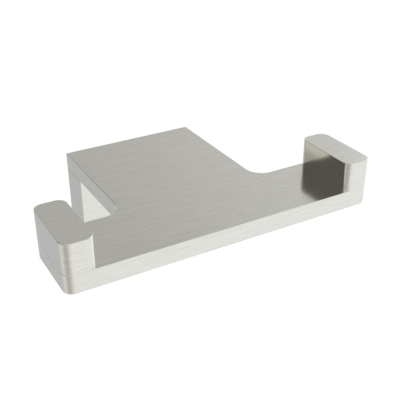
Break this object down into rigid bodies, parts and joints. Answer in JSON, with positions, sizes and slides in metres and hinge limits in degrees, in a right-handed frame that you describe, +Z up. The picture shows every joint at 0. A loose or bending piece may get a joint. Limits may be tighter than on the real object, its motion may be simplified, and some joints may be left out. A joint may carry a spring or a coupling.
{
  "type": "double robe hook",
  "caption": "Wall-mounted double robe hook: a T-shaped flat top plate with a short post on each end of its bar, on a square base that hides its bracket.",
  "frame": {"origin": "middle of the wall bracket's back, which is the middle of the 50 mm square base on the wall", "axes": "+Z up, +Y into the wall, X along the bar; the hook stands out towards -Y"},
  "size_m": [0.107, 0.075, 0.06],
  "materials": {
    "satin_nickel": "brushed satin nickel, fine straight streaks",
    "zinc_plate": "dull zinc, as cast and plated",
    "screw_steel": "bright turned stainless steel"
  },
  "bodies": {
    "root": {"top_plate": "satin_nickel", "post_left": "satin_nickel", "post_right": "satin_nickel", "wall_housing": "satin_nickel", "wall_bracket": "zinc_plate", "set_screw": "screw_steel", "plate_screw_left": "screw_steel", "plate_screw_right": "screw_steel", "post_screw_left_front": "screw_steel", "post_screw_left_back": "screw_steel", "post_screw_right_front": "screw_steel", "post_screw_right_back": "screw_steel"}
  },
  "joints": []
}
